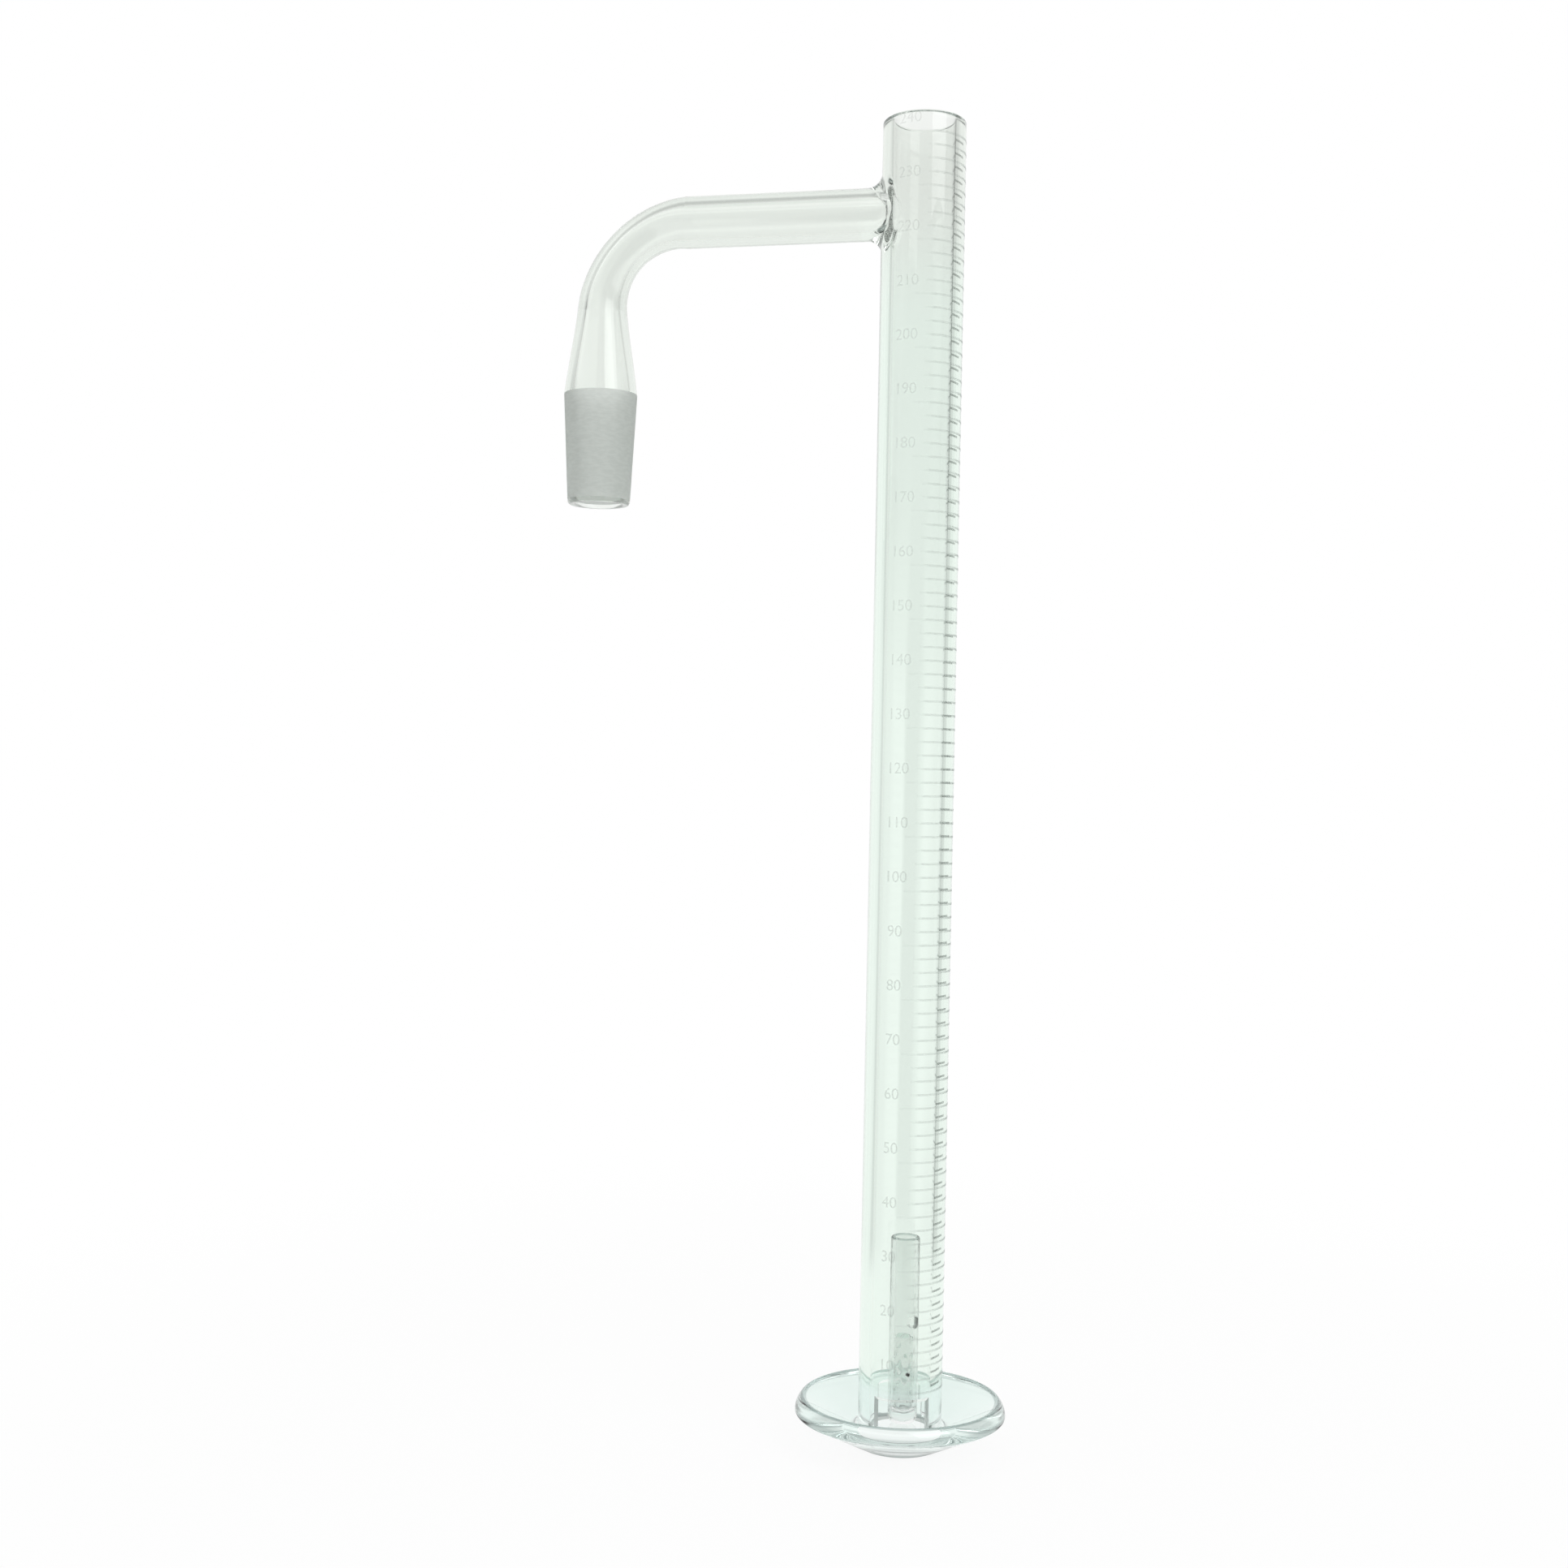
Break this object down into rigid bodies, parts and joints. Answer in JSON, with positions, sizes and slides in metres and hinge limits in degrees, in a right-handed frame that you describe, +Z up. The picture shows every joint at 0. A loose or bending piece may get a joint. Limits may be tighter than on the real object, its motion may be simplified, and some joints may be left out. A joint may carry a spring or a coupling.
{
  "type": "graduated glass column with side arm",
  "caption": "Tall clear glass column with a fired-on scale, standing in a shallow dish, with a bent side arm that ends in a frosted male ground joint and a loose glass pillar inside.",
  "frame": {"origin": "centre of the flat foot under the dish", "axes": "+Z up the column's axis to the rim, -X along the side arm to the joint"},
  "size_m": [0.0914, 0.0404, 0.254],
  "materials": {
    "clear_glass": "fire-polished",
    "frosted_glass": "ground, matt",
    "scale_mark": "fired-on, matt",
    "pillar_glass": "fire-polished",
    "hazy_glass": "hazy, twisted"
  },
  "bodies": {
    "vessel": {"dish": "clear_glass", "column_tube": "clear_glass", "base_weld": "clear_glass", "side_arm": "clear_glass", "arm_weld": "clear_glass", "elbow": "clear_glass", "joint_shank": "clear_glass", "ground_joint": "frosted_glass", "scale_unit_ticks": "scale_mark", "scale_quarter_ticks": "scale_mark"},
    "pillar": {"pillar_tube": "pillar_glass", "pillar_core": "hazy_glass"}
  },
  "joints": [
    {"name": "pillar_lift", "type": "slide", "parent": "vessel", "child": "pillar", "axis": [0, 0, 1], "range_m": [0, 0.255]}
  ]
}
